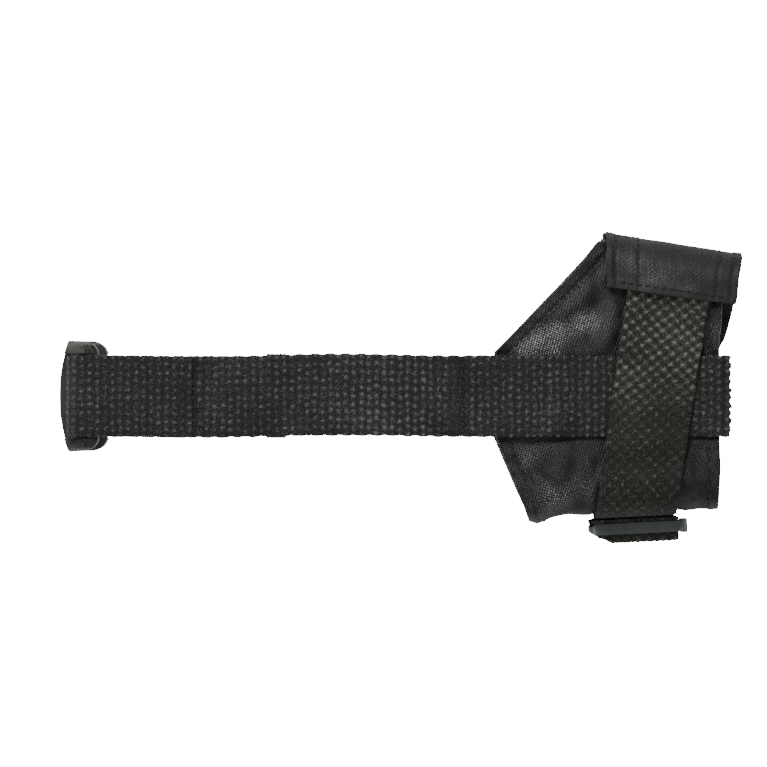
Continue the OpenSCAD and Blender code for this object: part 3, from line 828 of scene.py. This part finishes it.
def webbing_faces(ss, aa, seed):
    """(weave, outer face, inner face) of the snout webbing."""
    h = weave(ss, aa, SNOUT_YARN, SNOUT_YARN, "checker") * np.clip(uneven(ss, aa, seed), 0.4, 1.3)
    back = weave(ss + SNOUT_YARN, aa, SNOUT_YARN, SNOUT_YARN, "checker")
    back = back * np.clip(uneven(ss, aa, seed + 7), 0.4, 1.3)
    selvedge = smooth(HALF - 1.6, HALF - 0.2, np.abs(aa))
    base = 0.42 - 0.14 * selvedge
    lift = 0.30 * (1 - 0.35 * selvedge)
    return h, base + lift * h, -(base + lift * back)


repeats = int(round(AROUND[-1] / (2 * SNOUT_YARN)))  # a whole number, so that the weave closes
count = repeats * 8
scale = repeats * 2 * SNOUT_YARN / AROUND[-1]
s = RING_START + np.arange(count) * AROUND[-1] / count
a = across_webbing()
ss, aa = np.meshgrid(s, a, indexing="ij")
h, top, bottom = webbing_faces(ss * scale, aa, 61)
# painted light and shade: the yarns are painted paler on the strap's upper run, which faces the lights, and
# darker on its lower run
y_strap, _ = section(STRAP_MID_X, u_at(ss), 0)
painted_lit_run = smooth(STRAP_Y - 8, STRAP_Y + 9, y_strap)
h = h * (0.55 + 0.75 * painted_lit_run) - 0.02 * (1 - painted_lit_run)
scallop = lambda s: 0.14 + 0.12 * np.cos(math.pi * s / SNOUT_YARN)
snout = cloth_solid(
    "snout_strap_webbing", snout_point(over_band), s, a, top, bottom, h, closed=True, edge=scallop, sharp=85)
dress(snout, SNOUT_WEB, "snout_webbing", "muzzle", "snout_strap")

s = np.arange(s_at(5.0), s_at(6.0) + 0.2, SNOUT_YARN / 4)
ss, aa = np.meshgrid(s, a, indexing="ij")
h, top, bottom = webbing_faces(ss, aa, 65)
tail = cloth_solid(
    "snout_strap_tail_webbing", snout_point(lambda y: GAP + LAYER + 0 * y), s, a, top, bottom,
    np.clip(0.5 * h, 0, 1), edge=scallop, sharp=85)
dress(tail, SNOUT_WEB, "snout_webbing", "muzzle", "snout_strap_tail")

wrap_x = band_hi[0] - WEB_T / 2
ramp = (SEAM_END + 1, SEAM_END + 9)  # where the band comes down off the sewn-in neck straps
band_path = (
    [(BAND_START, Z_RETURN), (ramp[0], Z_RETURN), (ramp[1], Z_STRAP)]
    + bend(wrap_x - BAND_R, Z_STRAP - BAND_R, BAND_R, 90, 0)
    + bend(wrap_x - BAND_R, Z_UNDER_BAND + BAND_R, BAND_R, 0, -90)
    + [(ramp[1], Z_UNDER_BAND), (ramp[0], Z_UNDER_BAND - LAYER), (BAND_START, Z_UNDER_BAND - LAYER)]
)
band = strap("nose_band_webbing", band_path, 71, soften=0.7,
             relief=lambda x: 1 + 1.7 * smooth(wrap_x - 3, wrap_x, x))
dress(band, NECK_WEB, "neck_webbing", "muzzle", "nose_band")

# ---- neck straps
turn_x = BAR_X + WRAP_R + TURN_R
upper_path = (
    [(seam_hi[0], Z_STRAP)]
    + bend(turn_x, Z_STRAP - TURN_R, TURN_R, 90, 180)
    + bend(BAR_X, Z_BAR_UPPER, WRAP_R, 0, -180, 16)
    + bend(BAR_X - WRAP_R + TURN_OUT_R, Z_RETURN - TURN_OUT_R, TURN_OUT_R, 180, 90)
    + [(return_hi[0], Z_RETURN)]
)


def bow(x):
    """Slight S that the upper neck strap makes across its length."""
    t = np.clip((BAND_START - 4 - x) / (BAND_START - 4 - LOOP_END - 4), 0, 1)
    return (0.55 * np.sin(2 * math.pi * t) + 0.25 * np.sin(math.pi * t)) * np.sin(math.pi * t)


def painted_light(x):
    """Painted sheen that makes the strap paler about its middle, and a painted shadow of the nose band that
    darkens it where it dips in front of the band.
    """
    dark = smooth(13, 18, x) * smooth(BAND_START + 3, BAND_START, x)
    return 0.92 + 0.50 * np.exp(-(((x + 4) / 17) ** 2)) - 0.85 * dark


upper = strap("neck_strap_upper_webbing", upper_path, 81, soften=0.5, bow=bow, painted_light_amount=painted_light)
dress(upper, NECK_WEB, "neck_webbing", None,
      "neck_strap_upper", "neck_strap_upper_end", "neck_strap_upper_seam", "buckle_strap_loop")
BLEND = [(x / 1000, STRAP_Y / 1000, Z_STRAP / 1000) for x in (HINGE_X, LOOP_END)]
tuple(BLEND[0])
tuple(BLEND[1])
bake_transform(upper)

lower_path = (
    [(seam_hi[0], Z_UNDER_BAND), (BAND_START + 3, Z_UNDER_BAND), (BAND_START - 12, Z_LOWER)]
    + bend(turn_x, Z_LOWER + TURN_R, TURN_R, 270, 180)
    + bend(BAR_X, Z_BAR_LOWER, WRAP_R, 0, 180, 16)
    + bend(BAR_X - WRAP_R + TURN_OUT_R, Z_TAIL + TURN_OUT_R, TURN_OUT_R, 180, 270)
    + [(keeper_hi[0] + 7.5, Z_TAIL)]
)
lower = strap("neck_strap_lower_webbing", lower_path, 91, soften=0.5)
dress(lower, NECK_WEB, "neck_webbing", "muzzle", "neck_strap_lower")

# ---- elastic keeper: a ribbed ring round both layers
ky, kz = (keeper_hi[1] + keeper_lo[1]) / 2, (keeper_hi[2] + keeper_lo[2]) / 2
hy, hz = (keeper_hi[1] - keeper_lo[1]) / 2, (keeper_hi[2] - keeper_lo[2]) / 2
inset = 0.4  # from the keeper's outside to the ring that its faces are measured from
ring = rounded_ring(hy - inset, hz - inset, 0.9, 9)
ring = np.array(ring + ring[:1])
along = np.r_[0, np.cumsum(np.hypot(*np.diff(ring, axis=0).T))]
n_k = 180
s = np.arange(n_k) * along[-1] / n_k
ky_s, kz_s = np.interp(s, along, ring[:, 0]), np.interp(s, along, ring[:, 1])
dy, dz = np.roll(ky_s, -1) - np.roll(ky_s, 1), np.roll(kz_s, -1) - np.roll(kz_s, 1)
ny, nz = -dz / np.hypot(dy, dz), dy / np.hypot(dy, dz)


def keeper_point(s_in, a_in, b):
    i = np.round(np.asarray(s_in) / along[-1] * n_k).astype(int) % n_k
    x = (keeper_lo[0] + keeper_hi[0]) / 2 + a_in
    return np.stack([x, ky + ky_s[i] + ny[i] * b, kz + kz_s[i] + nz[i] * b], -1)


kw = (keeper_hi[0] - keeper_lo[0]) / 2 - 0.1
a = np.linspace(-kw, kw, 37)
ss, aa = np.meshgrid(s, a, indexing="ij")
rib = 0.5 + 0.5 * np.cos(2 * math.pi * aa / 1.25)
fine = 0.5 + 0.5 * np.cos(2 * math.pi * ss / 1.0)
h = rib * (0.65 + 0.35 * fine)
keeper = cloth_solid(
    "strap_keeper_elastic", keeper_point, s, a, 0.26 + 0.14 * h, -0.3 + 0 * h, h, closed=True, edge=0.08,
    sharp=80)
dress(keeper, ELASTIC, "elastic", "keeper", "strap_keeper")

# ---- webbing on the slider
slider_c = (slider_lo + slider_hi) / 2
tilt = math.atan(CHIN_SLOPE)


def slider_strip(name, half_path, seed, closed, splay=0, tuck=0):
    """Webbing wound round the slider: the path is (y, z) in the slider's own frame, its width along X.
    Towards its rear edge, splay widens the part on the chin and tuck narrows the part under the slider."""
    p = np.array(half_path, float)
    if closed:
        p = np.vstack([p, p[:1]])
    d = np.r_[0, np.cumsum(np.hypot(*np.diff(p, axis=0).T))]
    n = int(d[-1] / 0.42)
    s = np.linspace(0, d[-1], n + 1)
    if closed:
        s = s[:-1]
    y, z = np.interp(s, d, p[:, 0]), np.interp(s, d, p[:, 1])
    if closed:
        ty, tz = np.roll(y, -1) - np.roll(y, 1), np.roll(z, -1) - np.roll(z, 1)
    else:
        ty, tz = np.gradient(y), np.gradient(z)
    ny, nz = -tz / np.hypot(ty, tz), ty / np.hypot(ty, tz)

    def point(s_in, a_in, b):
        yy = np.interp(s_in, s, y) + b * np.interp(s_in, s, ny)
        zz = np.interp(s_in, s, z) + b * np.interp(s_in, s, nz)
        left = smooth(0, -HALF, a_in)
        xx = a_in - left * (splay * smooth(-4.6, 0, yy) - tuck * smooth(-1.0, -4.6, yy))
        gx = slider_c[0] + xx * math.cos(tilt) - yy * math.sin(tilt)
        gy = slider_c[1] + xx * math.sin(tilt) + yy * math.cos(tilt)
        return np.stack([gx, gy, slider_c[2] + zz], -1)

    a = across_webbing()
    ss, aa = np.meshgrid(s, a, indexing="ij")
    h, top, bottom = webbing_faces(ss, aa, seed)
    return cloth_solid(name, point, s, a, top, bottom, 0.5 * h, closed=closed, edge=scallop, sharp=85)


mid = WEB_T / 2  # from a face of the webbing to its middle
reach = (slider_hi[2] - slider_lo[2]) / 2 + 2.5  # past the slider's edges
loop_y, loop_z = SLIDER_T / 2 + GAP, BAR_HALF + GAP  # inside of the sewn loop round the middle bar
bar_loop = slider_strip("slider_bar_loop_webbing", rounded_ring(loop_y + mid, loop_z + mid, 0.9), 101, True)
dress(bar_loop, SNOUT_WEB, "snout_webbing", "strap_slider", "slider_bar_loop")

rider_y, rider_z, leg_y = loop_y + LAYER + mid, loop_z + LAYER + mid, loop_y + mid
rider_r = 1.0
half = (
    bend(-rider_y + rider_r, rider_z - rider_r, rider_r, 180, 90, 6)
    + bend(leg_y - rider_r, rider_z + rider_r, rider_r, -90, 0, 6) + [(leg_y, reach)]
)
rider_path = [(y, -z) for y, z in half[::-1]] + half
rider = slider_strip("snout_strap_rider_webbing", rider_path, 105, False, splay=2.6, tuck=3.6)
dress(rider, SNOUT_WEB, "snout_webbing", "strap_slider", "snout_strap_rider")


# ---- moulded plastic: the CAD shapes with their edges broken
def moulded(node, name, mat, slot, body, radius, rings=3, shape=None):
    """Copy of a CAD node's mesh, reshaped by shape and with its edges rounded to radius."""
    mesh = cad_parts[node].data.copy()
    mesh.name = name
    piece = add_object(name, mesh)
    bm = bmesh.new()
    bm.from_mesh(mesh)
    bmesh.ops.remove_doubles(bm, verts=bm.verts, dist=1e-6)
    bmesh.ops.dissolve_limit(bm, angle_limit=math.radians(2), verts=bm.verts, edges=bm.edges)
    if shape:
        shape(bm)
    bm.to_mesh(mesh)
    bm.free()
    mod = piece.modifiers.new("edge", "BEVEL")
    mod.width = radius / 1000
    mod.segments = rings
    mod.limit_method = "ANGLE"
    mod.angle_limit = math.radians(32)
    mod.use_clamp_overlap = True
    mod.miter_outer = "MITER_ARC"
    bpy.context.view_layer.update()
    dg = bpy.context.evaluated_depsgraph_get()
    result = bpy.data.meshes.new_from_object(piece.evaluated_get(dg))
    piece.modifiers.clear()
    piece.data = result
    result.polygons.foreach_set("use_smooth", np.ones(len(result.polygons), bool))
    result.set_sharp_from_angle(angle=math.radians(38))
    dress(piece, mat, slot, body, node)


for node, name, body, radius in (
    ("buckle_female", "buckle_socket", "socket", 0.45),
    ("buckle_male", "buckle_prong_half", "muzzle", 0.4),
    ("latch_arm_bridge_side", "latch_arm_on_bridge_side", "bridge_side_latch", 0.35),
    ("latch_arm_chin_side", "latch_arm_on_chin_side", "chin_side_latch", 0.35),
):
    moulded(node, name, BUCKLE, "buckle_plastic", body, radius)


def slider_ends(bm):
    """A thin rear end and a thick round front end, as the slider shows when it is seen edge-on."""
    for x in (-12.9, 12.9, 13.3):
        geom = bm.verts[:] + bm.edges[:] + bm.faces[:]
        at = ((slider_c[0] + x) / 1000, 0, 0)
        bmesh.ops.bisect_plane(bm, geom=geom, plane_co=at, plane_no=(1, 0, 0), dist=1e-6)
    for v in bm.verts:
        x = v.co.x * 1000 - slider_c[0]
        middle = (slider_c[1] + x * math.tan(tilt)) / 1000
        size = 1.22 if x > 13.2 else 1 - 0.5 * smooth(12.8, 15.1, -x)
        v.co.y = middle + (v.co.y - middle) * size


moulded("snout_slider", "snout_strap_slider", SLIDER, "slider_plastic", "strap_slider", 0.9, 4, slider_ends)


# ---- thread
def stitches(name, rows, radius):
    """Rows of short threads: each row is a list of (start, end, normal) in mm."""
    co, faces = [], []
    sides = 7
    # Along a thread: share of its length, share of its radius, and rise
    profile = [(0.0, 0.35, -0.55), (0.14, 0.95, 0.1), (0.5, 1.1, 0.35), (0.86, 0.95, 0.1), (1.0, 0.35, -0.55)]
    for start, end, normal in rows:
        start, end, normal = (np.array(v, float) for v in (start, end, normal))
        d = end - start
        length = np.linalg.norm(d)
        d /= length
        normal = normal - d * normal.dot(d)
        normal /= np.linalg.norm(normal)
        side = np.cross(d, normal)
        base = len(co)
        for t, r, up in profile:
            c = start + d * length * t + normal * radius * up
            for k in range(sides):
                g = 2 * math.pi * k / sides
                co.append(c + radius * r * (math.cos(g) * side + 0.85 * math.sin(g) * normal))
        for i in range(base, len(co) - sides, sides):
            for k in range(sides):
                k2 = (k + 1) % sides
                faces.append([i + k, i + k2, i + sides + k2, i + sides + k])
        faces.append([base + k for k in range(sides)][::-1])
        faces.append([len(co) - sides + k for k in range(sides)])
    return make_mesh(name, co, faces, sharp=80)


def row_on(surface, path, length=1.75, pitch=2.5):
    """Stitches along a path of surface coordinates; surface gives a point and a normal."""
    pts = np.array([surface(*p)[0] for p in path])
    d = np.r_[0, np.cumsum(np.linalg.norm(np.diff(pts, axis=0), axis=1))]
    out = []
    count = max(1, int(d[-1] / pitch))
    for k in range(count):
        mid = (k + 0.5) * d[-1] / count
        ends = []
        for e in (mid - length / 2, mid + length / 2):
            t = np.interp(e, d, np.arange(len(path)))
            i = min(int(t), len(path) - 2)
            w = t - i
            ends.append(tuple(np.array(path[i]) * (1 - w) + np.array(path[i + 1]) * w))
        a, b = surface(*ends[0]), surface(*ends[1])
        out.append((a[0], b[0], a[1] + b[1]))
    return out


def on_cup(level):
    """Surface over the cup at the height level(x, u), for rows of stitches."""
    def surface(x, u):
        p = cup_point(np.array(x), np.array(u), np.array(level(x, u)))
        q = cup_point(np.array(x), np.array(u), np.array(level(x, u) + 1.0))
        return p, q - p
    return surface


def hem_level(x, u):
    return float(crease(np.array(u), np.array(x)) + 0.05)


def uncovered(x, u, at_front):
    """Whether the hem at x and u is clear of the webbing, and of the sleeve on the front edge."""
    web = float(under_webbing(np.array(x), section(np.array(x), np.array(u), 0)[0]))
    sleeve_over = float(section(np.array(MID_X), np.array(u), 0)[0]) > sleeve_lo[1] - 0.5
    return web < 0.15 and not (at_front and sleeve_over)


rows = []
for at_front in (False, True):
    run = []
    for s in np.arange(0, AROUND[-1], 1.0):
        u = float(u_at(s))
        rear, front = cup_span(np.array(u))
        x = float(front) - SEAM_IN if at_front else float(rear) + SEAM_IN / REAR_SLANT
        if uncovered(x, u, at_front):
            run.append((x, u))
        else:
            if len(run) > 3:
                rows += row_on(on_cup(hem_level), run)
            run = []
    if len(run) > 3:
        rows += row_on(on_cup(hem_level), run)
cup_thread = stitches("cup_hem_thread", rows, 0.2)
dress(cup_thread, THREAD, "thread", "muzzle")

# Rows across the sleeve's two ends, which hold it to the cup, and along its lower edges
rows = []


def sleeve_level(x, u):
    """Height of the sleeve's outer face, read from its mesh."""
    rear, front = sleeve_span(np.array(u))
    f = (x - float(rear)) / float(front - rear)
    i = int(np.clip(round((s_at(u) - s0) / (s1 - s0) * (len(s_sleeve) - 1)), 0, len(s_sleeve) - 1))
    return float(np.interp(f, sleeve_shares[i], sleeve_outer[i])) + 0.08


for at_front, insets in ((False, REAR_ROWS), (True, FRONT_ROWS)):
    for inset in insets:
        path = []
        for s in np.linspace(s0 + 1.2, s1 - 1.2, 70):
            u = float(u_at(s))
            rear, front = sleeve_span(np.array(u))
            path.append((float(front) - inset if at_front else float(rear) + inset, u))
        rows += row_on(on_cup(sleeve_level), path, 2.0, 2.7)
for s in (s0 + 2.2, s1 - 2.2):
    u = float(u_at(s))
    rear, front = sleeve_span(np.array(u))
    path = [(x, u) for x in np.linspace(float(rear) + 3.5, float(front) - 3.5, 30)]
    rows += row_on(on_cup(sleeve_level), path, 1.8, 2.5)
sleeve_thread = stitches("sleeve_thread", rows, 0.30)
dress(sleeve_thread, THREAD, "thread", "muzzle", "sleeve_stitches")


def flat_rows(lines, z, up=1, bent=lambda x: 0 * x, length=1.9, pitch=2.6):
    """Stitches along straight lines at the height z; up is 1 or -1, and bent moves them along Y."""
    out = []
    for (x0, y0), (x1, y1) in lines:
        d = np.array([x1 - x0, y1 - y0], float)
        n = max(1, int(np.hypot(*d) / pitch))
        for k in range(n):
            ends = []
            for e in (-0.5, 0.5):
                t = (k + 0.5) / n + e * length / np.hypot(*d)
                x, y = x0 + d[0] * t, y0 + d[1] * t
                ends.append((x, y + float(bent(np.array(x))), z))
            out.append((ends[0], ends[1], (0, 0, up)))
    return out


def box_lines(x0, x1):
    """Box of seams between x0 and x1, inside the edges of the neck webbing."""
    y0, y1 = STRAP_Y - HALF + 3, STRAP_Y + HALF - 3
    return [((x0, y0), (x1, y0)), ((x0, y1), (x1, y1)), ((x0, y0), (x0, y1)), ((x1, y0), (x1, y1))]


thread_r = 0.22
rise = 0.66  # from the middle of the webbing to the middle of a thread
lines = box_lines(BAND_START + 3, SEAM_END - 2)
rows = flat_rows(lines, Z_RETURN + rise) + flat_rows(lines, max(Z_UNDER_BAND - LAYER - rise, thread_r), -1)
band_thread = stitches("band_thread", rows, thread_r)
dress(band_thread, THREAD, "thread", "muzzle", "band_stitches")

rows = flat_rows(box_lines(return_hi[0] - 14, return_hi[0] - 3), Z_RETURN + rise, 1, bow)
end_thread = stitches("strap_end_thread", rows, thread_r)
dress(end_thread, THREAD, "thread", None, "strap_end_stitches")
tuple(BLEND[0])
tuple(BLEND[1])
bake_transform(end_thread)

# ---- floor, lights and camera
mesh = bpy.data.meshes.new("floor")
mesh.from_pydata([(-4, -4, 0), (4, -4, 0), (4, 4, 0), (-4, 4, 0)], [], [(0, 1, 2, 3)])
floor = add_object("floor", mesh)
m, nt, p = material("pale_floor")
p.inputs["Base Color"].default_value = (0.93, 0.93, 0.93, 1)
p.inputs["Roughness"].default_value = 0.9
p.inputs["Emission Color"].default_value = (1, 1, 1, 1)
n = Nodes(nt)
glow = 22.0  # white backdrop, without light from the floor on the object
n.link(n.mul(n.new("ShaderNodeLightPath").outputs["Is Camera Ray"], glow),
       p.inputs["Emission Strength"])
mesh.materials.append(m)

world = bpy.data.worlds.new("studio")
bpy.context.scene.world = world
world.use_nodes = True
world.node_tree.nodes["Background"].inputs[0].default_value = (1, 1, 1, 1)
world.node_tree.nodes["Background"].inputs[1].default_value = 0.2


def lamp(name, place, target, size, power):
    """Area light of size (m) and power (W), aimed at target."""
    data = bpy.data.lights.new(name, "AREA")
    data.shape = "RECTANGLE"
    data.size, data.size_y = size
    data.energy = power
    obj = add_object(name, data)
    obj.location = place
    d = np.array(target, float) - np.array(place, float)
    obj.rotation_euler = Vector(d).to_track_quat("-Z", "Y").to_euler()


lamp("key", (-0.25, 0.75, 0.95), (0.02, 0, 0.03), (0.5, 0.35), 9)
lamp("fill", (0.75, -0.45, 0.8), (0.02, 0, 0.03), (0.7, 0.7), 3)
lamp("rim", (-0.9, -0.25, 0.45), (0, 0, 0.03), (0.4, 0.4), 2.5)

cam_data = bpy.data.cameras.new("camera")
cam = add_object("camera", cam_data)
distance = 2.5
cam_data.sensor_width = 36
top, view_width = 0.055, 0.2339  # height of the upper strap, and the width in view there
cam_data.lens = cam_data.sensor_width * (distance - top) / view_width
cam_data.clip_end = 20
cam.location = (-0.005, 0.00158, distance)
bpy.context.scene.camera = cam
